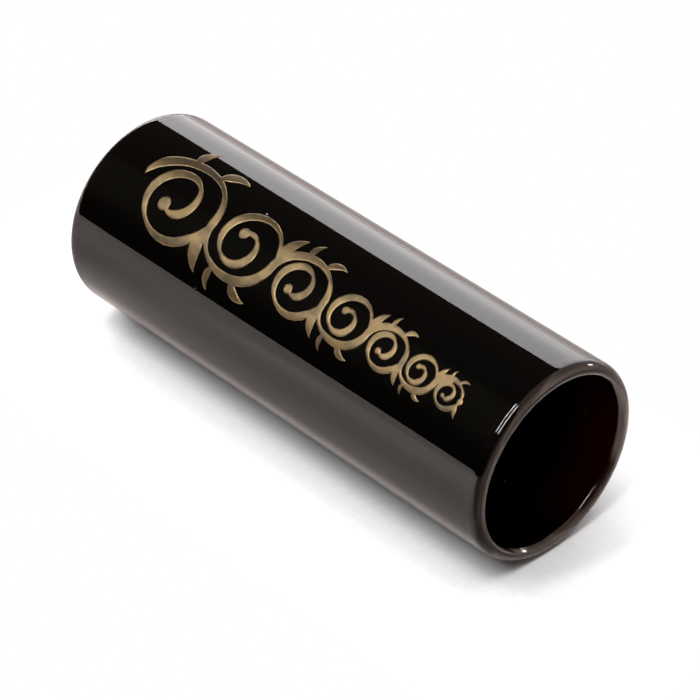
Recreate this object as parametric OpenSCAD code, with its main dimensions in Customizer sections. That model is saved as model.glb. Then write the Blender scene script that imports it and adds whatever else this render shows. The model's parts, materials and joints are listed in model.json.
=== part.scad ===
// Guitar slide: a straight tube of dark tinted glass with polished rims and a gold ornament
// fired onto the barrel. It lies on its side: the bore runs along X, +Z is up, and the
// origin is the centre of the bore, half way along the tube. Millimetres.

/* [Tube] */
// Length of the tube from rim to rim
tube_length = 69; // [62:1:75]
// Outside diameter of the barrel
barrel_d = 25; // [24:0.5:32]
// Thickness of the glass wall
wall = 1.8; // [1.2:0.1:3]
// Share of the wall taken by the round on the outer edge of each rim
rim_outer_share = 0.74; // [0.4:0.01:0.76]
// Share of the wall taken by the flare that opens the bore at each rim
flare_share = 0.22; // [0.05:0.01:0.23]
// Depth of the flare along the bore as a share of the wall
flare_depth_share = 0.5; // [0.1:0.05:1]

/* [Ornament] */
// Angle of the ornament round the barrel, up from the horizontal on the -Y side
ornament_angle = 55; // [0:1:90]
// Length of the ornament along the barrel
ornament_length = 55; // [40:1:56]
// Number of volutes, which alternate above and below the vine's centre line
volutes = 7; // [4:1:9]
// Size of each volute as a share of the one before it
volute_ratio = 0.83; // [0.8:0.01:1]
// Height of the stem's arches as a share of their length
arch_rise = 0.4; // [0.3:0.01:0.5]
// Widest stroke on the largest volute
nib_wide = 1.6; // [0.8:0.05:1.8]
// Narrowest stroke on the largest volute
nib_thin = 0.55; // [0.3:0.05:0.7]
// Thickness of the fired gold layer
gold_t = 0.04; // [0.02:0.01:0.1]

/* [Hidden] */
$fn = 96;

barrel_r = barrel_d / 2;
bore_r = barrel_r - wall;
rim_outer_r = wall * rim_outer_share;
flare_w = wall * flare_share;
flare_depth = wall * flare_depth_share;

// Tilt of the vine, which sets the small volutes on the large ones' base line
slant = -3;
// Half the width of a leaf as a share of its length
leaf_plump = 0.18;
// Angle of the broad nib to the tube's axis, which makes a stroke thick or thin by its direction
nib_angle = -35;
// Turn of a tendril from the stem to its tip, and how much it shrinks in each quarter turn
tendril_turn = 495;
tendril_shrink = 0.79;
// Degrees between the points of a curve
curve_step = 9;

// ---- Glass tube ----------------------------------------------------------------------

// Half of the wall's section: x is the distance from the axis, y the distance along it.
module wall_section() {
    half = tube_length / 2;
    land_r = bore_r + flare_w;
    // The glass behind the flare of each rim, out to the land that runs the full length.
    polygon([
        [bore_r, flare_depth - half], [land_r, -half],
        [barrel_r - rim_outer_r, -half], [barrel_r - rim_outer_r, half],
        [land_r, half], [bore_r, half - flare_depth]]);
    // The glass behind the outer round of each rim, and the rounds themselves.
    translate([barrel_r - rim_outer_r, rim_outer_r - half])
        square([rim_outer_r, tube_length - 2 * rim_outer_r]);
    for (end = [-1, 1])
        rim_round([barrel_r - rim_outer_r, end * (half - rim_outer_r)], rim_outer_r, end);
}

// A quarter disc about a centre, on its outer side and towards one end of the tube.
module rim_round(centre, r, end) {
    translate(centre)
        intersection() {
            circle(r = r);
            translate([r / 2, end * r / 2]) square(r, center = true);
        }
}

module glass_tube() {
    color("#1a0d0a")
        rotate([0, 90, 0])
            rotate_extrude() wall_section();
}

// ---- Gold ornament -------------------------------------------------------------------
// The vine is drawn flat, with x along the tube and y round the barrel as arc length.

// Sum of the first k terms of the series of volute sizes, where the first size is 1.
function size_sum(k) = k <= 0 ? 0 : pow(volute_ratio, k - 1) + size_sum(k - 1);
first_pitch = ornament_length / size_sum(volutes);
// Length of volute k along the tube, where it starts, and the side that its arch rises to.
function pitch(k) = first_pitch * pow(volute_ratio, k);
function start(k) = first_pitch * size_sum(k) - ornament_length / 2;
function side(k) = k % 2 == 0 ? 1 : -1;
// Weight of the strokes at a place along the tube, where the largest volute has 1.
function weight_at(x) = sqrt(1 - (1 - volute_ratio) * (x + ornament_length / 2) / first_pitch);

// The point of arch k at angle a, from 0 where the arch starts to 180 where it ends.
function on_arch(k, a) =
    [start(k) + pitch(k) * (1 - cos(a)) / 2, side(k) * arch_rise * pitch(k) * sin(a)];
// Direction of a path at point i, from its neighbours.
function heading(path, i) =
    let (a = path[max(i - 1, 0)], b = path[min(i + 1, len(path) - 1)])
    atan2(b.y - a.y, b.x - a.x);
// Width that the nib gives in a direction, on the largest volute.
function nib(direction) =
    nib_thin + (nib_wide - nib_thin) * abs(sin(direction - nib_angle));
// Share of the full width at a place from 0 to 1 along a stroke, which lifts at its ends.
function lift(t, first, last) = sqrt(min(1, t / first + 0.02, (1 - t) / last + 0.02));

// A point of the drawing, slanted, and seen square on once it is wrapped round the barrel.
function wrapped(p) =
    let (q = [p.x * cos(slant) - p.y * sin(slant), p.x * sin(slant) + p.y * cos(slant)])
    [q.x, barrel_r * sin(q.y / barrel_r * 180 / PI)];

// The outline of a stroke along a path, where reach is half its width at each point.
module ribbon(path, reach) {
    n = len(path) - 1;
    edge = [for (i = [0 : n])
        let (dir = heading(path, i)) reach[i] * [sin(dir), -cos(dir)]];
    right = [for (i = [0 : n]) wrapped(path[i] + edge[i])];
    left = [for (i = [n - 1 : -1 : 1]) wrapped(path[i] - edge[i])];
    polygon(concat(right, left));
}

// A brush stroke along a path, thinned over the first and last shares of its length.
module stroke(path, first, last, weight = 1) {
    n = len(path) - 1;
    ribbon(path, [for (i = [0 : n])
        nib(heading(path, i)) * weight * weight_at(path[i].x) * lift(i / n, first, last) / 2]);
}

// A leaf is a pointed drop that bends to one side, from its foot to its tip.
module leaf(foot, direction, length, bend) {
    n = 12;
    path = [for (i = [0 : n])
        let (a = direction + bend * i / n) foot + length * i / n * [cos(a), sin(a)]];
    ribbon(path, [for (i = [0 : n]) length * leaf_plump * sin(180 * pow(i / n, 0.8))]);
}

// A berry is a round drop of gold.
module berry(at, r) {
    polygon([for (a = [0 : 20 : 340]) wrapped(at + r * [cos(a), sin(a)])]);
}

// The stem: one arch for each volute, above and below the centre line by turns.
module stem() {
    path = [for (k = [0 : volutes - 1]) for (a = [0 : curve_step : 179]) on_arch(k, a)];
    stroke(path, 0.03, 0.02);
}

// A tendril leaves the stem at the end of arch k and curls back beneath it.
module tendril(k) {
    centre = [start(k) + pitch(k) / 2, 0];
    path = [for (a = [0 : curve_step * 1.5 : tendril_turn])
        let (r = pitch(k) / 2 * pow(tendril_shrink, a / 90))
        centre + r * [cos(a), -side(k) * sin(a)]];
    stroke(path, 0.08, 0.15, 0.85);
    berry(path[len(path) - 1], pitch(k) * 0.07);
}

// Leaves of arch k: two on its back, and one in the fork where its tendril leaves the stem.
module leaves(k) {
    s = side(k);
    p = pitch(k);
    leaf(on_arch(k, 72), 125 * s, p * 0.28, -45 * s);
    leaf(on_arch(k, 108), 75 * s, p * 0.32, -50 * s);
    leaf(on_arch(k, 180) + p * [-0.02, -0.1 * s], -95 * s, p * 0.4, 25 * s);
}

module vine() {
    stem();
    for (k = [0 : volutes - 1]) {
        tendril(k);
        leaves(k);
    }
    // A last berry closes the end of the stem.
    berry(on_arch(volutes - 1, 180), pitch(volutes - 1) * 0.1);
}

module gold_ornament() {
    color("#b0935a")
        rotate([90 - ornament_angle, 0, 0])
            intersection() {
                linear_extrude(height = barrel_r + 1) vine();
                rotate([0, 90, 0])
                    difference() {
                        cylinder(r = barrel_r + gold_t, h = tube_length, center = true);
                        cylinder(r = barrel_r, h = tube_length + 2, center = true);
                    }
            }
}

glass_tube();
gold_ornament();
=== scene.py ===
"""Guitar slide: the looks of a dark glass tube with a gold scroll, built round its CAD frame."""

import json
import math

import bmesh
import bpy
import numpy as np
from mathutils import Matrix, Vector, geometry, kdtree, noise

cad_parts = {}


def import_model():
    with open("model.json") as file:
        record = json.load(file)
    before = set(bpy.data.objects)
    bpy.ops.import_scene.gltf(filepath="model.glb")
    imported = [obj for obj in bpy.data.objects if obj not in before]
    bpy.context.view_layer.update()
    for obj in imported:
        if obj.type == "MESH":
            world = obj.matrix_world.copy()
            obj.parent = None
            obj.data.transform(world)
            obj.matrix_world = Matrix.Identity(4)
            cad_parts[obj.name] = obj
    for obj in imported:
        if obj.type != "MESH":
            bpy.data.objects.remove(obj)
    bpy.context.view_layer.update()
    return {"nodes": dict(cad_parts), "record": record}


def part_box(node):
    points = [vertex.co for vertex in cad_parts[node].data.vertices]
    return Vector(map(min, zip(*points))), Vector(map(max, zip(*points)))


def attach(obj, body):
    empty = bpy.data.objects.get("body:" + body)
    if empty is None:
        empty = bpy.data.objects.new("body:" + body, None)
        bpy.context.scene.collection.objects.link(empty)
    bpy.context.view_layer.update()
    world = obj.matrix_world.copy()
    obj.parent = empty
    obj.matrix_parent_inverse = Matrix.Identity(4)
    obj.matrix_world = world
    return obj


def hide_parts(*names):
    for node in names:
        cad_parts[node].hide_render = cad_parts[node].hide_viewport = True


MM = 0.001
TUBE = "glass_tube"
PRINT = "gold_ornament"
TUBE_PIECE = "dark_glass_tube"
PRINT_PIECE = "gold_scroll_print"

# Camera, aimed at a point near the middle of the tube. Angles are in degrees.
CAMERA_AZIMUTH = 46.403
CAMERA_ELEVATION = 37.456
CAMERA_DISTANCE = 414.46 * MM
CAMERA_AIM = Vector((1.78, -0.31, -1.96)) * MM
CAMERA_CLIP = 0.01
LENS_MM = 183.857
SENSOR_MM = 36.0


# ---- Small helpers -------------------------------------------------------------------


def link(obj):
    """Puts a new object in the scene."""
    bpy.context.scene.collection.objects.link(obj)
    return obj


def mesh_object(name, verts, faces, smooth=True):
    """A new object from lists of vertices and faces."""
    mesh = bpy.data.meshes.new(name)
    mesh.from_pydata([tuple(v) for v in verts], [], [tuple(f) for f in faces])
    mesh.validate()
    mesh.update()
    mesh.polygons.foreach_set("use_smooth", [smooth] * len(mesh.polygons))
    return link(bpy.data.objects.new(name, mesh))


def direction(azimuth, elevation):
    """Unit vector at an azimuth from -Y towards +X and an elevation, both in degrees."""
    a, e = math.radians(azimuth), math.radians(elevation)
    return Vector((math.sin(a) * math.cos(e), -math.cos(a) * math.cos(e), math.sin(e)))


def rgb(r, g, b):
    """A colour with full alpha."""
    return (r, g, b, 1.0)


WHITE = rgb(1.0, 1.0, 1.0)


class Nodes:
    """A short way to build a node tree: add nodes, and link sockets by name.

    A ramp is (low, high, value at low, value at high). The last two are 0 and 1 if left out.
    """

    def __init__(self, owner):
        owner.use_nodes = True
        self.tree = owner.node_tree
        self.tree.nodes.clear()

    def add(self, kind, inputs=None, **settings):
        """A node with its settings, and with its inputs linked or filled in."""
        node = self.tree.nodes.new(kind)
        for name, value in settings.items():
            setattr(node, name, value)
        for name, value in (inputs or {}).items():
            self.put(node.inputs[name], value)
        return node

    def put(self, socket, value):
        """Links a socket to another, or fills in its value."""
        if isinstance(value, bpy.types.NodeSocket):
            self.tree.links.new(value, socket)
        else:
            socket.default_value = value

    def maths(self, operation, a, b=0.0, c=0.0):
        """The result of a Math node."""
        return self.add("ShaderNodeMath", {0: a, 1: b, 2: c}, operation=operation).outputs[0]

    def product(self, first, *others):
        """All the values multiplied together."""
        for other in others:
            first = self.maths("MULTIPLY", first, other)
        return first

    def noise(self, coords, scale, detail=2.0, roughness=0.5):
        """The strength of a noise texture."""
        inputs = {"Vector": coords, "Scale": scale, "Detail": detail, "Roughness": roughness}
        return self.add("ShaderNodeTexNoise", inputs).outputs["Fac"]

    def ramp(self, value, steps, kind="SMOOTHSTEP"):
        """The value taken through a ramp, which is flat beyond its two ends."""
        inputs = dict(zip(("From Min", "From Max", "To Min", "To Max"), steps))
        inputs["Value"] = value
        return self.add("ShaderNodeMapRange", inputs, interpolation_type=kind).outputs["Result"]

    def scaled(self, vector, factor):
        """A vector or colour times one factor."""
        inputs = {0: vector, "Scale": factor}
        return self.add("ShaderNodeVectorMath", inputs, operation="SCALE").outputs[0]

    def stretched(self, vector, factors):
        """A vector with each axis times its own factor."""
        inputs = {0: vector, 1: factors}
        return self.add("ShaderNodeVectorMath", inputs, operation="MULTIPLY").outputs[0]

    def axes(self, vector):
        """The x, y and z of a vector."""
        parts = self.add("ShaderNodeSeparateXYZ", {"Vector": vector})
        return [parts.outputs[axis] for axis in "XYZ"]

    def mix_value(self, factor, a, b):
        """A number between a and b."""
        node = self.add("ShaderNodeMix", data_type="FLOAT")
        sockets = [s for s in node.inputs if s.type == "VALUE"]
        for socket, value in zip(sockets, (factor, a, b)):
            self.put(socket, value)
        return node.outputs[0]

    def mix(self, factor, a, b):
        """A colour between a and b."""
        node = self.add("ShaderNodeMix", data_type="RGBA")
        self.put(node.inputs["Factor"], factor)
        colours = [s for s in node.inputs if s.type == "RGBA"]
        self.put(colours[0], a)
        self.put(colours[1], b)
        return [s for s in node.outputs if s.type == "RGBA"][0]


# ---- Glass tube ----------------------------------------------------------------------

# The outer round of a rim, as a quarter of an ellipse
RIM_OUTER_DEPTH = 1.43 * MM
RIM_OUTER_INSET = 1.13 * MM
# The lip inside it, the slope of the flare from first to last in degrees, and the round at its end
LIP_R = 0.4 * MM
FLARE_ANGLES = (60.0, 68.0)
CORNER_R = 0.45 * MM
# Sides where the flare is flatter: angle round the rim, spread, and the slope from first to last
WORN_SIDES = [(295.0, 35.0, 60.0, 50.0), (148.0, 28.0, 50.0, 56.0)]
CORNER_STEPS = 8
RIM_STEPS = 20
TUBE_SEGMENTS = 384
BARREL_RINGS = 12


def tube_sizes():
    """Half length, outside radius and bore radius, from the frame."""
    low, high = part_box(TUBE)
    mounts = {m["name"]: m for m in frame["record"]["mounts"]}
    bore_r = mounts["finger_bore"]["dims"]["r_mm"] * MM
    return (high.x - low.x) / 2, (high.z - low.z) / 2, bore_r


def outer_round(half, outer_r):
    """The outer round of the near rim as (x, radius), from the barrel to the crest."""
    points = []
    for i in range(RIM_STEPS + 1):
        a = math.pi / 2 * i / RIM_STEPS
        across = RIM_OUTER_INSET * (1 - math.cos(a))
        along = RIM_OUTER_DEPTH * (1 - math.sin(a))
        points.append((half - along, outer_r - across))
    return points


def flare_slopes(turn):
    """First and last slope of the flare at an angle round the rim, in radians."""
    first, last = FLARE_ANGLES
    for at, spread, worn_first, worn_last in WORN_SIDES:
        share = math.cos(min(abs(math.degrees(turn) - at) / spread, 1.0) * math.pi / 2) ** 2
        first += (worn_first - first) * share
        last += (worn_last - last) * share
    return math.radians(first), math.radians(last)


def inner_edge(half, crest_r, bore_r, turn):
    """The inner edge of a rim: a small round lip, a flare that steepens, and a fine round."""
    first, last = flare_slopes(turn)
    points = []
    for i in range(1, RIM_STEPS + 1):
        a = first * i / RIM_STEPS
        points.append((half - LIP_R * (1 - math.cos(a)), crest_r - LIP_R * math.sin(a)))
    x, r = points[-1]
    step = (r - bore_r - CORNER_R * (1 - math.sin(last))) / RIM_STEPS
    for i in range(RIM_STEPS):
        a = first + (last - first) * (i + 0.5) / RIM_STEPS
        x -= step * math.tan(a)
        r -= step
        points.append((x, r))
    for i in range(1, CORNER_STEPS + 1):
        a = last + (math.pi / 2 - last) * i / CORNER_STEPS
        along = CORNER_R * (math.cos(last) - math.cos(a))
        points.append((x - along, bore_r + CORNER_R * (1 - math.sin(a))))
    return points


def wall_profile(half, outer_r, bore_r, turn):
    """Closed outline of the wall's section as (x, radius): barrel, near rim, bore, far rim."""
    rim = outer_round(half, outer_r)
    rim += inner_edge(half, outer_r - RIM_OUTER_INSET, bore_r, turn)
    barrel_end, bore_end = rim[0][0], rim[-1][0]
    spread = [2 * i / BARREL_RINGS - 1 for i in range(1, BARREL_RINGS)]
    barrel = [(barrel_end * share, outer_r) for share in spread]
    bore = [(-bore_end * share, bore_r) for share in spread]
    far = [(-x, r) for x, r in reversed(rim)]
    return barrel + rim + bore + far


def glass_tube():
    """The tube, turned as one closed skin with its flame-polished rims."""
    half, outer_r, bore_r = tube_sizes()
    verts = []
    for s in range(TUBE_SEGMENTS):
        a = 2 * math.pi * s / TUBE_SEGMENTS
        profile = wall_profile(half, outer_r, bore_r, a)
        verts += [(x, -r * math.cos(a), r * math.sin(a)) for x, r in profile]
    n = len(profile)
    faces = []
    for s in range(TUBE_SEGMENTS):
        t = (s + 1) % TUBE_SEGMENTS
        for i in range(n):
            j = (i + 1) % n
            faces.append((s * n + i, s * n + j, t * n + j, t * n + i))
    tube = mesh_object(TUBE_PIECE, verts, faces)
    first = tube.data.polygons[0]
    if first.normal.dot(first.center * Vector((0, 1, 1))) < 0:
        tube.data.flip_normals()
    tube.data.materials.append(dark_glass())
    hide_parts(TUBE)
    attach(tube, "root")


# ---- Glass material ------------------------------------------------------------------
# Places along the tube are distances from its middle, and radii are from its axis, in metres.

GLASS_IOR = 1.5
BODY_COLOUR = rgb(0.4, 0.08, 0.0)
BODY_DENSITY = 5100.0
# A faint film wiped along the tube makes the clean skin a little rougher
FILM_STRETCH = (0.08, 1.0, 1.0)
FILM_SCALE = 900.0
FILM_DETAIL = 3.0
FILM_CONTRAST = 0.6
FILM_RAMP = (0.45, 0.8)
CLEAN_ROUGHNESS = 0.004
FILM_ROUGHNESS = 0.02
# A few specks of dust
SPECK_SCALE = 1500.0
SPECK_RAMP = (0.895, 0.91)
DUST_COLOUR = rgb(0.15, 0.14, 0.13)
# Painted shade: the skin lets light through close to the rims, and into the barrel only at its
# very ends; elsewhere its colour cuts the light through it to a few percent
SKIN_SHADE_COLOUR = rgb(0.03, 0.03, 0.03)
OPEN_RAMP = (0.0255, 0.0325)
BARREL_OPEN_RAMP = (0.0322, 0.0335)
BARREL_SKIN_R = 0.0118
# Painted sheen: a faint matt glow on the crest of each rim, and a stronger one on the flare on the
# +Y side, stands in for light the rims reflect
RIM_SHEEN_COLOUR = (0.03, 0.0245, 0.021)
SHEEN_CREST_RAMP = (0.0340, 0.0343)
SHEEN_ALONG_RAMP = (0.0336, 0.0339)
SHEEN_SIDE_RAMP = (0.0093, 0.0106, 0.0, 3.6)
SHEEN_BORE_RAMP = (0.01072, 0.0108)
SHEEN_OUTER_RAMP = (0.0112, 0.0117, 1.0, 0.0)


def dark_glass():
    """Clear glass skin over a strongly absorbing red-brown body, with a painted sheen on its rims.
    """
    material = bpy.data.materials.new("tinted_glass")
    nodes = Nodes(material)
    coords = nodes.add("ShaderNodeTexCoord").outputs["Object"]
    x, y, _ = nodes.axes(coords)
    along = nodes.maths("ABSOLUTE", x)
    flat = nodes.stretched(coords, (0.0, 1.0, 1.0))
    radius = nodes.add("ShaderNodeVectorMath", {0: flat}, operation="LENGTH").outputs["Value"]
    skin = glass_skin(nodes, coords, along, radius)
    # A matt painted sheen on the rims, added over the clear skin
    sheen = nodes.add("ShaderNodeBsdfDiffuse", {"Color": painted_rim_sheen(nodes, along, y, radius)})
    with_sheen = nodes.add("ShaderNodeAddShader", {0: skin.outputs[0], 1: sheen.outputs[0]})
    dust = nodes.add("ShaderNodeBsdfDiffuse", {"Color": DUST_COLOUR})
    speck = nodes.ramp(nodes.noise(coords, SPECK_SCALE, 0.0), SPECK_RAMP)
    mixed = nodes.add("ShaderNodeMixShader", {0: speck, 1: with_sheen.outputs[0], 2: dust.outputs[0]})
    tint = {"Color": BODY_COLOUR, "Density": BODY_DENSITY}
    body = nodes.add("ShaderNodeVolumeAbsorption", tint)
    ends = {"Surface": mixed.outputs[0], "Volume": body.outputs[0]}
    nodes.add("ShaderNodeOutputMaterial", ends).is_active_output = True
    return material


def glass_skin(nodes, coords, along, radius):
    """The clear skin, with its film of roughness, open to light only near the rims; elsewhere
    painted shade dims the light through it.
    """
    wiped = nodes.stretched(coords, FILM_STRETCH)
    film = nodes.ramp(nodes.noise(wiped, FILM_SCALE, FILM_DETAIL, FILM_CONTRAST), FILM_RAMP)
    roughness = nodes.maths("MULTIPLY_ADD", film, FILM_ROUGHNESS, CLEAN_ROUGHNESS)
    backfacing = nodes.add("ShaderNodeNewGeometry").outputs["Backfacing"]
    inward = nodes.maths("SUBTRACT", 1.0, backfacing)
    entering = nodes.product(nodes.maths("GREATER_THAN", radius, BARREL_SKIN_R), inward)
    zone = nodes.mix_value(
        entering, nodes.ramp(along, OPEN_RAMP), nodes.ramp(along, BARREL_OPEN_RAMP)
    )
    inputs = {
        "Base Color": nodes.mix(zone, SKIN_SHADE_COLOUR, WHITE),
        "Roughness": roughness,
        "IOR": GLASS_IOR,
        "Transmission Weight": 1.0,
    }
    return nodes.add("ShaderNodeBsdfPrincipled", inputs)


def painted_rim_sheen(nodes, along, y, radius):
    """Colour of the painted sheen on the rims, which is black elsewhere."""
    flare_sheen = nodes.product(
        nodes.ramp(y, SHEEN_SIDE_RAMP),
        nodes.ramp(along, SHEEN_ALONG_RAMP),
        nodes.ramp(radius, SHEEN_OUTER_RAMP),
        nodes.ramp(radius, SHEEN_BORE_RAMP),
    )
    sheen_share = nodes.maths("MAXIMUM", nodes.ramp(along, SHEEN_CREST_RAMP), flare_sheen)
    return nodes.scaled(RIM_SHEEN_COLOUR, sheen_share)


# ---- Gold print ----------------------------------------------------------------------

# Points closer than this are one point
WELD = 0.0005 * MM
OUTLINE_STEP = 0.08 * MM
OUTLINE_MIN_POINTS = 8
OUTLINE_SOFTNESS = 0.09 * MM
# How far the edge wanders, and the rate and share of its slow and fine wandering
EDGE_WANDER = 0.035 * MM
WANDER_SLOW = (1.1, 0.7)
WANDER_FINE = (3.7, 0.5)
INK_GRID = 0.16 * MM
INK_GRID_CLEARANCE = 0.55
# Heights of the gold's underside, edge, body and dried ridge above the barrel
INK_LIFT = 0.001 * MM
INK_EDGE = 0.004 * MM
INK_BODY = 0.022 * MM
INK_RIDGE = 0.012 * MM
RIDGE_AT = 0.09 * MM
RIDGE_SPREAD = 0.8
INK_UNEVEN = 0.35
INK_UNEVEN_RATE = 1.6


def print_angle():
    """Angle of the print's middle round the barrel, from -Y towards +Z."""
    low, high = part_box(PRINT)
    return math.atan2((low.z + high.z) / 2, -(low.y + high.y) / 2)


def boundary_steps(mesh, co):
    """For each point, the points that follow it on the edge of the print's outer face."""
    keys = {}
    places = (tuple(np.round(p / WELD).astype(int)) for p in co)
    weld = [keys.setdefault(place, i) for i, place in enumerate(places)]
    reach = np.hypot(co[:, 1], co[:, 2])
    outer = reach > (reach.min() + reach.max()) / 2
    ahead = {}
    for poly in mesh.polygons:
        if not all(outer[v] for v in poly.vertices):
            continue
        ring = [weld[v] for v in poly.vertices]
        for a, b in zip(ring, ring[1:] + ring[:1]):
            # An edge walked both ways lies between two faces, so it is no part of the outline.
            if ahead.get(b, {}).pop(a, None) is None:
                ahead.setdefault(a, {})[b] = True
    return ahead


def walk(ahead):
    """One closed walk along the steps, which are used up as it goes."""
    first = next(a for a, bs in ahead.items() if bs)
    loop, here = [], first
    while ahead.get(here):
        following = next(iter(ahead[here]))
        del ahead[here][following]
        loop.append(here)
        here = following
        if here == first:
            break
    return loop


def print_outlines(radius):
    """Closed outlines of the CAD print's outer face, unrolled to (x, arc length)."""
    mesh = frame["nodes"][PRINT].data
    co = np.array([v.co for v in mesh.vertices], float)
    ahead = boundary_steps(mesh, co)
    middle = print_angle()
    loops = []
    while any(ahead.values()):
        loop = walk(ahead)
        angle = np.arctan2(co[loop, 2], -co[loop, 1]) - middle
        loops.append(np.column_stack([co[loop, 0], angle * radius]))
    return loops


def resample(loop, step):
    """The closed outline with points a step apart."""
    closed = np.vstack([loop, loop[:1]])
    lengths = np.r_[0, np.cumsum(np.linalg.norm(np.diff(closed, axis=0), axis=1))]
    count = max(OUTLINE_MIN_POINTS, int(lengths[-1] / step))
    at = np.linspace(0, lengths[-1], count, endpoint=False)
    return np.column_stack([np.interp(at, lengths, closed[:, k]) for k in (0, 1)])


def soften(loop, step, width):
    """The outline with its corners rounded as wet ink rounds them."""
    reach = int(3 * width / step)
    offsets = np.arange(-reach, reach + 1)
    weights = np.exp(-0.5 * (offsets * step / width) ** 2)
    weights /= weights.sum()
    return sum(w * np.roll(loop, -o, axis=0) for w, o in zip(weights, offsets))


def wander(loop, amount):
    """The outline moved in and out a little, as a brush's edge is."""
    along = np.roll(loop, -1, axis=0) - np.roll(loop, 1, axis=0)
    normal = np.column_stack([along[:, 1], -along[:, 0]])
    normal /= np.linalg.norm(normal, axis=1)[:, None] + 1e-12
    slow_rate, slow_share = WANDER_SLOW
    fine_rate, fine_share = WANDER_FINE
    shift = []
    for x, y in loop / MM:
        slow = noise.noise(Vector((x * slow_rate, y * slow_rate, 3.0)))
        fine = noise.noise(Vector((x * fine_rate, y * fine_rate, 9.0)))
        shift.append(slow * slow_share + fine * fine_share)
    return loop + normal * (np.array(shift) * amount)[:, None]


def inside(points, loops):
    """Which points lie inside the outlines, by the even-odd rule."""
    result = np.zeros(len(points), bool)
    for loop in loops:
        a, b = loop, np.roll(loop, -1, axis=0)
        for (ax, ay), (bx, by) in zip(a, b):
            if ay == by:
                continue
            crosses = (points[:, 1] < ay) != (points[:, 1] < by)
            x = ax + (points[:, 1] - ay) * (bx - ax) / (by - ay)
            result ^= crosses & (points[:, 0] < x)
    return result


def edge_distance(points, outline):
    """Distance of each point to the nearest point of the outline."""
    tree = kdtree.KDTree(len(outline))
    for i, (x, y) in enumerate(outline):
        tree.insert((x, y, 0.0), i)
    tree.balance()
    return np.array([tree.find((x, y, 0.0))[2] for x, y in points])


def fill_points(loops, grid):
    """Points on a staggered grid inside the outlines, clear of them."""
    every = np.vstack(loops)
    low, high = every.min(0), every.max(0)
    rows = []
    for j, y in enumerate(np.arange(low[1], high[1], grid * math.sqrt(3) / 2)):
        xs = np.arange(low[0] + (j % 2) * grid / 2, high[0], grid)
        rows.append(np.column_stack([xs, np.full(len(xs), y)]))
    points = np.vstack(rows)
    points = points[inside(points, loops)]
    return points[edge_distance(points, every) > grid * INK_GRID_CLEARANCE]


def ink_height(distance, points):
    """Thickness of the gold: thin at its edge, with a ridge where it dried first."""
    rise = np.clip(distance / RIDGE_AT, 0, 1)
    rise = rise * rise * (3 - 2 * rise)
    ridge = np.exp(-(((distance - RIDGE_AT) / (RIDGE_AT * RIDGE_SPREAD)) ** 2))
    spots = [Vector((x / MM * INK_UNEVEN_RATE, y / MM * INK_UNEVEN_RATE, 5.0)) for x, y in points]
    uneven = np.array([noise.noise(spot) for spot in spots])
    body = INK_BODY * (1 + INK_UNEVEN * uneven) - INK_EDGE
    return INK_EDGE + body * rise + INK_RIDGE * ridge * rise


def triangulate(loops):
    """Points and triangles that fill the outlines, as (x, arc length)."""
    points = np.vstack(loops + [fill_points(loops, INK_GRID)])
    edges, start = [], 0
    for loop in loops:
        edges += [(start + i, start + (i + 1) % len(loop)) for i in range(len(loop))]
        start += len(loop)
    flat = [Vector((x / MM, y / MM)) for x, y in points]
    verts, _, tris, _, _, _ = geometry.delaunay_2d_cdt(flat, edges, [], 0, 1e-6)
    points = np.array([tuple(v) for v in verts]) * MM
    centres = np.array([points[list(t)].mean(0) for t in tris])
    return points, [t for t, keep in zip(tris, inside(centres, loops)) if keep]


def on_barrel(p, reach, radius, middle):
    """A point of the drawing wrapped round the barrel, at a distance from its axis."""
    angle = middle + p[1] / radius
    return Vector((p[0], -reach * math.cos(angle), reach * math.sin(angle)))


def side_faces(tris, n):
    """Faces that join the film's top to its underside, along each edge with one triangle."""
    seen = set()
    for t in tris:
        for a, b in zip(t, t[1:] + t[:1]):
            seen.add((a, b))
    return [(b, a, n + a, n + b) for a, b in seen if (b, a) not in seen]


def drop_loose(mesh):
    """Deletes vertices that no face uses."""
    bm = bmesh.new()
    bm.from_mesh(mesh)
    bmesh.ops.delete(bm, geom=[v for v in bm.verts if not v.link_faces], context="VERTS")
    bmesh.ops.recalc_face_normals(bm, faces=bm.faces)
    bm.to_mesh(mesh)
    bm.free()
    mesh.update()


def gold_print():
    """The gold layer, as a closed film wrapped on the barrel."""
    radius = tube_sizes()[1]
    loops = [resample(loop, OUTLINE_STEP) for loop in print_outlines(radius)]
    loops = [wander(soften(loop, OUTLINE_STEP, OUTLINE_SOFTNESS), EDGE_WANDER) for loop in loops]
    points, tris = triangulate(loops)
    height = ink_height(edge_distance(points, np.vstack(loops)), points)
    middle = print_angle()
    base = radius + INK_LIFT
    top = [on_barrel(p, base + h, radius, middle) for p, h in zip(points, height)]
    bottom = [on_barrel(p, base, radius, middle) for p in points]
    n = len(points)
    faces = [tuple(t) for t in tris] + [tuple(n + i for i in reversed(t)) for t in tris]
    film = mesh_object(PRINT_PIECE, top + bottom, faces + side_faces(tris, n))
    drop_loose(film.data)
    film.data.materials.append(fired_gold())
    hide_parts(PRINT)
    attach(film, "root")
    return film


# ---- Gold material -------------------------------------------------------------------

# Patches where the gold fired thin, and a fine grain
PATCH_SCALE = 420.0
PATCH_RAMP = (0.3, 0.66)
GRAIN_SCALE = 6000.0
GRAIN_DETAIL = 3.0
GRAIN_CONTRAST = 0.7
GRAIN_DEPTH = 0.004 * MM
GRAIN_STRENGTH = 0.5
GOLD_THIN = rgb(0.13, 0.1, 0.062)
GOLD_LOW = rgb(0.25, 0.175, 0.085)
GOLD_HIGH = rgb(0.35, 0.25, 0.13)
GOLD_ROUGHNESS_RAMP = (0.0, 1.0, 0.4, 0.33)


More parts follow.
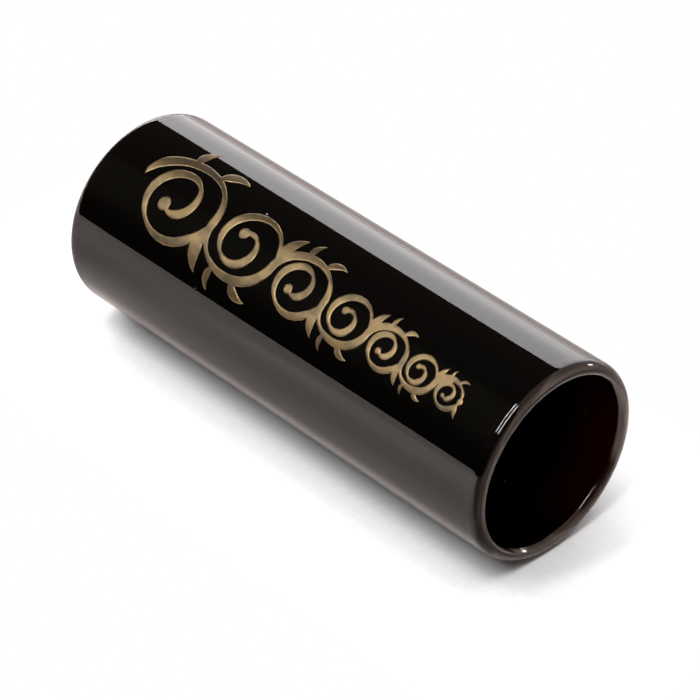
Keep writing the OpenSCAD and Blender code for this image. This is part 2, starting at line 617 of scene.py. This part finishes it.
def fired_gold():
    """Satin gold: mottled where it fired thin, with a fine grain."""
    material = bpy.data.materials.new("fired_gold")
    nodes = Nodes(material)
    coords = nodes.add("ShaderNodeTexCoord").outputs["Object"]
    patches = nodes.ramp(nodes.noise(coords, PATCH_SCALE), PATCH_RAMP)
    grain = nodes.noise(coords, GRAIN_SCALE, GRAIN_DETAIL, GRAIN_CONTRAST)
    relief = {"Height": grain, "Distance": GRAIN_DEPTH, "Strength": GRAIN_STRENGTH}
    inputs = {
        "Base Color": nodes.mix(patches, GOLD_THIN, nodes.mix(grain, GOLD_LOW, GOLD_HIGH)),
        "Metallic": 1.0,
        "Roughness": nodes.ramp(patches, GOLD_ROUGHNESS_RAMP),
        "Normal": nodes.add("ShaderNodeBump", relief).outputs[0],
    }
    gold = nodes.add("ShaderNodeBsdfPrincipled", inputs)
    nodes.add("ShaderNodeOutputMaterial", {"Surface": gold.outputs[0]})
    return material


# ---- Floor ---------------------------------------------------------------------------
# The floor is a pale sheet to the camera, with painted shade and light near the tube. In the glass
# it has painted shade and painted light by zones, as if flags and lamps stood round the tube. Its
# ramps run along x or y, in metres.

FLOOR_HALF = 2.0

# Seen by the camera: painted light just beside the tube and painted shade beyond it, painted shade
# at its two ends, and a faint grain
SEEN_RAMP = (0.0075, 0.0125, 1.06 * 0.79, 0.95 * 0.79)
SEEN_NEAR_END_RAMP = (0.031, 0.0345, 1.0, 0.965)
SEEN_FAR_END_RAMP = (-0.0345, -0.03, 0.78, 1.0)
PAPER_SCALE = 1300.0
PAPER_CONTRAST = 0.6
PAPER_RAMP = (0.3, 0.7, 0.98, 1.02)
# Where the floor runs into the white background, by its distance from the middle
WHITE_X_RAMP = (0.0385, 0.06)
WHITE_Y_RAMP = (0.011, 0.028)

# Reflected in the glass, in front of the tube: painted shade and painted light by zones, with a
# warm tint
REFLECTED = 0.44
REFLECTED_TINT = rgb(1.13, 1.0, 0.95)
FRONT_BASE = 0.85
BESIDE_LIFT = 0.95
BESIDE_Y_RAMP = (-0.0135, -0.0085)
BESIDE_X_RAMP = (-0.045, -0.02)
FRONT_Y_RAMP = (-0.055, -0.020, 1.6, 1.0)
FRONT_X_RAMP = (-0.050, -0.030, 0.8, 1.0)
# ... painted shade past its near end, close by and then farther out
PAST_X_RAMP = (0.034, 0.0385)
PAST_Y_RAMP = (-0.03, -0.006, 0.2, 0.75)
OUT_X_RAMP = (0.0405, 0.0455)
OUT_SHARE = 0.28
# ... and a small dip of painted shade below the near rim
DIP_DEPTH = 0.5
DIP_X_RAMP = (0.0315, 0.0335)
DIP_FRONT_RAMP = (-0.02, -0.014)
DIP_BACK_RAMP = (-0.0095, -0.008, 1.0, 0.0)

# Reflected in the glass, behind the tube: painted shade by zones, and painted light beside the
# near end
SIDES_Y_RAMP = (-0.002, 0.004)
BEHIND_NEAR_RAMP = (0.015, 0.055, 0.32, 0.65)
BEHIND_FAR_RAMP = (0.065, 0.13, 0.0, 0.57)
CORNER_X_RAMP = (0.0, 0.03)
CORNER_RAMP = (0.09, 0.12, 1.0, 0.45)
LIFTED_X_RAMP = (0.028, 0.032)
LIFTED_OUT_RAMP = (0.042, 0.05, 1.4, 0.6)
LIFTED_Y_RAMP = (0.026, 0.038, 1.0, 0.0)

# Seen through the glass: painted light close beside the tube and painted shade towards the far end
THROUGH_X_RAMP = (-0.035, -0.02, 0.1, 1.2)
THROUGH_Y_RAMP = (0.002, 0.014, 4.0, 1.0)


def floor_in_front(nodes, x, y):
    """Share of the floor's reflection on the -Y side of the tube, with its painted shade and
    light.
    """
    beside = nodes.product(nodes.ramp(y, BESIDE_Y_RAMP), nodes.ramp(x, BESIDE_X_RAMP))
    base = nodes.maths("MULTIPLY_ADD", beside, BESIDE_LIFT, FRONT_BASE)
    past = nodes.mix_value(nodes.ramp(x, OUT_X_RAMP), OUT_SHARE, nodes.ramp(y, PAST_Y_RAMP))
    past = nodes.mix_value(nodes.ramp(x, PAST_X_RAMP), 1.0, past)
    dip = nodes.product(
        nodes.ramp(y, DIP_FRONT_RAMP), nodes.ramp(y, DIP_BACK_RAMP), nodes.ramp(x, DIP_X_RAMP)
    )
    dip = nodes.maths("MULTIPLY_ADD", dip, -DIP_DEPTH, 1.0)
    sides = nodes.ramp(y, FRONT_Y_RAMP), nodes.ramp(x, FRONT_X_RAMP)
    return nodes.product(base, *sides, past, dip)


def floor_behind(nodes, x, y):
    """Share of the floor's reflection on the +Y side of the tube, with its painted shade and
    light.
    """
    behind = nodes.maths("ADD", nodes.ramp(y, BEHIND_NEAR_RAMP), nodes.ramp(y, BEHIND_FAR_RAMP))
    corner = nodes.ramp(nodes.maths("ADD", x, y), CORNER_RAMP)
    corner = nodes.mix_value(nodes.ramp(x, CORNER_X_RAMP), 1.0, corner)
    lifted = nodes.product(
        nodes.ramp(x, LIFTED_X_RAMP), nodes.ramp(x, LIFTED_OUT_RAMP), nodes.ramp(y, LIFTED_Y_RAMP)
    )
    return nodes.maths("ADD", lifted, nodes.product(behind, corner))


def floor_seen(nodes, position, x, aside):
    """Painted shade and light of the floor to the camera, with a faint grain, where aside is the
    distance from the tube's axis.
    """
    paper = nodes.noise(position, PAPER_SCALE, 2.0, PAPER_CONTRAST)
    return nodes.product(
        nodes.ramp(aside, SEEN_RAMP),
        nodes.ramp(x, SEEN_NEAR_END_RAMP),
        nodes.ramp(x, SEEN_FAR_END_RAMP),
        nodes.ramp(paper, PAPER_RAMP),
    )


def floor_colour(nodes, path, position):
    """Colour of the floor by the kind of ray that looks at it, with painted shade and light by
    zones.
    """
    x, y, _ = nodes.axes(position)
    aside = nodes.maths("ABSOLUTE", y)
    sides = floor_in_front(nodes, x, y), floor_behind(nodes, x, y)
    share = nodes.mix_value(nodes.ramp(y, SIDES_Y_RAMP), *sides)
    share = nodes.product(share, REFLECTED)
    through = nodes.product(nodes.ramp(x, THROUGH_X_RAMP), nodes.ramp(aside, THROUGH_Y_RAMP))
    share = nodes.mix_value(path.outputs["Is Transmission Ray"], share, through)
    seen = floor_seen(nodes, position, x, aside)
    share = nodes.mix_value(path.outputs["Is Camera Ray"], share, seen)
    tint = nodes.mix(path.outputs["Is Camera Ray"], REFLECTED_TINT, WHITE)
    return nodes.scaled(tint, share)


def floor_fade(nodes, path, position):
    """How far the floor has run into the white background, to the camera only."""
    x, y, _ = nodes.axes(position)
    beyond_x = nodes.ramp(nodes.maths("ABSOLUTE", x), WHITE_X_RAMP)
    beyond_y = nodes.ramp(nodes.maths("ABSOLUTE", y), WHITE_Y_RAMP)
    beyond = nodes.maths("MAXIMUM", beyond_x, beyond_y)
    return nodes.product(beyond, path.outputs["Is Camera Ray"])


def floor(level):
    """A pale floor at a level, with painted shade and light round the tube."""
    s = FLOOR_HALF
    corners = [(-s, -s, level), (s, -s, level), (s, s, level), (-s, s, level)]
    plane = mesh_object("floor", corners, [(0, 1, 2, 3)])
    material = bpy.data.materials.new("floor")
    nodes = Nodes(material)
    path = nodes.add("ShaderNodeLightPath")
    position = nodes.add("ShaderNodeNewGeometry").outputs["Position"]
    sheet = nodes.add("ShaderNodeBsdfDiffuse", {"Color": floor_colour(nodes, path, position)})
    white = nodes.add("ShaderNodeEmission", {"Color": WHITE})
    fade = floor_fade(nodes, path, position)
    mixed = nodes.add("ShaderNodeMixShader", {0: fade, 1: sheet.outputs[0], 2: white.outputs[0]})
    nodes.add("ShaderNodeOutputMaterial", {"Surface": mixed.outputs[0]})
    material.cycles.emission_sampling = "NONE"
    plane.data.materials.append(material)


# ---- Studio cards --------------------------------------------------------------------
# The camera doesn't see them. Stops are (height, radiance) up a card. A fade is a centre and a
# ramp by the distance from it, and the card is clear where the ramp is 0.

# The back softbox is drawn round a point on its top edge, and tilted about that point. The
# centre of its fade is so far to the left that the fade is an upright soft edge on the right.
BACK_Y = 0.25
BACK_TOP = 0.207
BACK_PIVOT_X = -0.229
BACK_TILT = math.radians(-20.0)
BACK_LEFT, BACK_FOOT = -0.5, -0.5
BACK_FOOT_X, BACK_HEAD_X = 0.062, 0.241
BACK_COLOUR = (1.03, 0.99, 1.0)
BACK_FADE = ((-3.0, BACK_Y, 0.1), (2.95, 3.0, 1.0, 0.0))
BACK_STOPS = [
    (-0.2195, 2.2), (-0.193, 2.7), (-0.154, 2.6), (-0.099, 2.8), (-0.044, 3.3), (0.0, 3.6),
]

# The front flag is cut away at its upper right, so that the near rim sees the key light
FLAG_Y = -0.128
FLAG_CLEARANCE = 0.0115
FLAG_OUTLINE = [(0.3, 0.05), (-0.04, 0.1), (-0.14, 0.5), (-0.8, 0.5)]
FLAG_COLOUR = (1.1, 0.95, 0.75)
FLAG_FOOT_RADIANCE = 0.02
FLAG_STOPS = [(0.04, 0.03), (0.1, 0.09), (0.2, 0.11), (0.5, 0.09)]

# Two strips of the key light, overhead at the front left, each given by the x of its middle
KEY_STRIPS = (-0.15, 0.22)
KEY_DISTANCE = 0.6
KEY_WIDTH = 0.09
KEY_ENDS = (-0.71, -0.24)
KEY_RADIANCE = 20.0

# A small lamp beside the softbox makes the sparks on the near rim
SPARK_X = (0.045, 0.09)
SPARK_Y = BACK_Y - 0.01
SPARK_Z = (0.035, 0.08)
SPARK_RADIANCE = 22.0
SPARK_FADE = ((0.068, SPARK_Y, 0.057), (0.006, 0.022, 1.0, 0.0))


def card(name, corners, stops, colour=(1.0, 1.0, 1.0), lights=True, fade=None):
    """A flat card that glows. It lights matt surfaces only if lights is on."""
    obj = mesh_object(name, corners, [tuple(range(len(corners)))], smooth=False)
    material = bpy.data.materials.new(name)
    nodes = Nodes(material)
    height = nodes.axes(nodes.add("ShaderNodeTexCoord").outputs["Object"])[2]
    strength = stops[0][1]
    for (z0, below), (z1, above) in zip(stops, stops[1:]):
        rise = nodes.ramp(height, (z0, z1, 0.0, above - below), "LINEAR")
        strength = nodes.maths("ADD", rise, strength)
    glow = nodes.add("ShaderNodeEmission", {"Color": rgb(*colour), "Strength": strength})
    if fade:
        glow = faded(nodes, glow, *fade)
    nodes.add("ShaderNodeOutputMaterial", {"Surface": glow.outputs[0]})
    obj.data.materials.append(material)
    obj.visible_camera = False
    obj.visible_shadow = False
    obj.visible_diffuse = lights
    if not lights:
        material.cycles.emission_sampling = "NONE"
    return obj


def faded(nodes, shader, centre, steps):
    """The shader made clear by a ramp of the distance from a centre."""
    position = nodes.add("ShaderNodeNewGeometry").outputs["Position"]
    inputs = {0: position, 1: centre}
    away = nodes.add("ShaderNodeVectorMath", inputs, operation="DISTANCE").outputs["Value"]
    clear = nodes.add("ShaderNodeBsdfTransparent")
    share = nodes.ramp(away, steps)
    return nodes.add(
        "ShaderNodeMixShader", {0: share, 1: clear.outputs[0], 2: shader.outputs[0]}
    )


def back_softbox():
    """The tall softbox behind the tube, which ends short of the near rim."""
    left, foot = BACK_LEFT, BACK_FOOT
    outline = [(left, foot), (BACK_FOOT_X, foot), (BACK_HEAD_X, 0.0), (left, 0.0)]
    corners = [(x, 0.0, z) for x, z in outline]
    softbox = card("back_softbox", corners, BACK_STOPS, BACK_COLOUR, fade=BACK_FADE)
    softbox.location = (BACK_PIVOT_X, BACK_Y, BACK_TOP)
    softbox.rotation_euler = (0.0, BACK_TILT, 0.0)


def front_flag(level):
    """The dark flag in front of the tube, just clear of the floor."""
    low = level + FLAG_CLEARANCE
    left, right = FLAG_OUTLINE[-1][0], FLAG_OUTLINE[0][0]
    outline = [(left, low), (right, low)] + FLAG_OUTLINE
    corners = [(x, FLAG_Y, z) for x, z in outline]
    stops = [(level, FLAG_FOOT_RADIANCE)] + FLAG_STOPS
    card("front_flag", corners, stops, FLAG_COLOUR, lights=False)


def key_strip(name, x):
    """One of the key light's long strips, on a sphere round the tube."""
    corners = []
    for side, end in ((-1, 0), (1, 0), (1, 1), (-1, 1)):
        across = x + side * KEY_WIDTH / 2
        along = KEY_ENDS[end]
        up = math.sqrt(1 - across**2 - along**2)
        corners.append(Vector((across, along, up)) * KEY_DISTANCE)
    card(name, corners, [(0.0, KEY_RADIANCE)])


def spark_lamp():
    """The small lamp that only the rims are turned to."""
    (x0, x1), (z0, z1) = SPARK_X, SPARK_Z
    corners = [(x0, SPARK_Y, z0), (x1, SPARK_Y, z0), (x1, SPARK_Y, z1), (x0, SPARK_Y, z1)]
    card("hot_spot", corners, [(0.0, SPARK_RADIANCE)], lights=False, fade=SPARK_FADE)


def studio_cards(level):
    """All the cards that the glass reflects."""
    back_softbox()
    front_flag(level)
    for i, x in enumerate(KEY_STRIPS):
        key_strip(f"key_strip_{i}", x)
    spark_lamp()


# ---- Lights, surroundings and camera -------------------------------------------------

# Soft lights: azimuth and elevation in degrees, distance and size in metres, and power
TOP_LIGHT = (0.0, 90.0, 1.2, 1.2, 14.0)
END_LIGHT = (-92.0, 42.0, 1.1, 1.1, 15.0)
GOLD_LIGHT = (-56.2, 46.2, 1.0, 0.3, 8.2)

# The room that the glass reflects: dim, with a lighter part to the right and another behind
ROOM_COLOUR = rgb(0.075, 0.062, 0.05)
ABOVE_COLOUR = rgb(0.72, 0.52, 0.44)
BEHIND_COLOUR = rgb(1.7, 1.3, 1.15)
FILL_COLOUR = rgb(0.125, 0.125, 0.125)
ROOM_SLANT = 0.2
ROOM_RIGHT_RAMP = (-0.05, 0.09)
ABOVE_Y_RAMP = (-0.3, -0.15)
BEHIND_Y_RAMP = (0.2, 0.4)
BEHIND_DIM_RAMP = (0.4, 0.7, 1.0, 0.15)
BEHIND_Z_RAMP = (0.8, 0.9, 1.0, 0.0)


def aim(obj, azimuth, elevation, target, distance):
    """Puts a light or camera at a direction and distance from a target, and turns it there."""
    back = direction(azimuth, elevation)
    obj.location = target + back * distance
    obj.rotation_euler = back.to_track_quat("Z", "Y").to_euler()


def soft_light(name, settings, glossy=False):
    """A square soft light aimed at the tube. The glass reflects it only if glossy is on."""
    azimuth, elevation, distance, size, power = settings
    data = bpy.data.lights.new(name, "AREA")
    data.size = size
    data.energy = power
    obj = link(bpy.data.objects.new(name, data))
    aim(obj, azimuth, elevation, Vector((0.0, 0.0, 0.0)), distance)
    obj.visible_glossy = glossy
    obj.visible_transmission = False
    obj.visible_camera = False
    return obj


def soft_lights(film):
    """Two soft lights for the whole set, and one that falls on the gold film alone."""
    soft_light("top_light", TOP_LIGHT)
    soft_light("end_light", END_LIGHT)
    gleam = soft_light("gold_light", GOLD_LIGHT, glossy=True)
    receivers = bpy.data.collections.new("gold_light_receivers")
    receivers.objects.link(film)
    gleam.light_linking.receiver_collection = receivers


def world():
    """White to the camera, a dim warm room in reflections, and neutral on matt surfaces."""
    made = bpy.data.worlds.new("studio")
    bpy.context.scene.world = made
    nodes = Nodes(made)
    path = nodes.add("ShaderNodeLightPath")
    x, y, z = nodes.axes(nodes.add("ShaderNodeTexCoord").outputs["Generated"])
    right = nodes.ramp(nodes.maths("MULTIPLY_ADD", y, ROOM_SLANT, x), ROOM_RIGHT_RAMP)
    above = nodes.product(right, nodes.ramp(y, ABOVE_Y_RAMP))
    behind = nodes.product(
        right,
        nodes.ramp(y, BEHIND_Y_RAMP),
        nodes.ramp(z, BEHIND_Z_RAMP),
        nodes.ramp(y, BEHIND_DIM_RAMP),
    )
    room = nodes.mix(above, ROOM_COLOUR, ABOVE_COLOUR)
    room = nodes.mix(behind, room, BEHIND_COLOUR)
    room = nodes.mix(path.outputs["Is Diffuse Ray"], room, FILL_COLOUR)
    colour = nodes.mix(path.outputs["Is Camera Ray"], room, WHITE)
    background = nodes.add("ShaderNodeBackground", {"Color": colour, "Strength": 1.0})
    nodes.add("ShaderNodeOutputWorld", {"Surface": background.outputs[0]})


def camera():
    """The camera, at the photo's viewing angle."""
    data = bpy.data.cameras.new("camera")
    data.lens = LENS_MM
    data.sensor_width = SENSOR_MM
    data.clip_start = CAMERA_CLIP
    obj = link(bpy.data.objects.new("camera", data))
    aim(obj, CAMERA_AZIMUTH, CAMERA_ELEVATION, CAMERA_AIM, CAMERA_DISTANCE)
    bpy.context.scene.camera = obj


def stage(film):
    """Floor, cards, lights, surroundings and camera."""
    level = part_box(TUBE)[0].z
    floor(level)
    studio_cards(level)
    soft_lights(film)
    world()
    camera()
    view = bpy.context.scene.view_settings
    view.view_transform = "Standard"
    view.look = "None"


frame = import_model()
glass_tube()
stage(gold_print())
